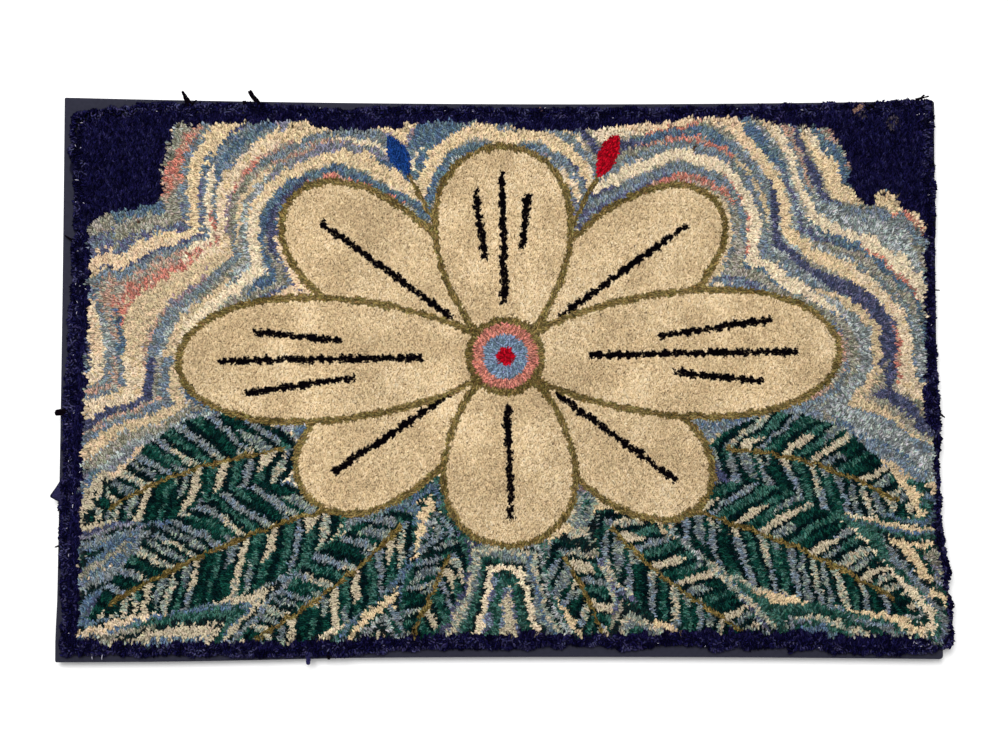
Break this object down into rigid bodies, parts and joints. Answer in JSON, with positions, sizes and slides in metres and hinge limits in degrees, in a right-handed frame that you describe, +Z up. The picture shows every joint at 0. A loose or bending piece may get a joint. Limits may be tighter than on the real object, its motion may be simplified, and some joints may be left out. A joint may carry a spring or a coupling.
{
  "type": "hooked rug on a mounting board",
  "caption": "Rectangular hooked wool rug with a shaggy navy border and ragged rim, sewn flat onto a cloth-covered mounting board.",
  "frame": {"origin": "middle of the bounding box's base, on the board's underside", "axes": "+X along the rug's length, +Y across it towards its top edge, +Z up out of the pile"},
  "size_m": [0.9862, 0.629, 0.0303],
  "materials": {
    "wool_pile": "cut wool pile, matte, in cream, blues, greens and navy",
    "board_cloth": "plain charcoal cloth, matte"
  },
  "bodies": {
    "root": {"rug": "wool_pile", "mounting_board": "board_cloth"}
  },
  "joints": []
}
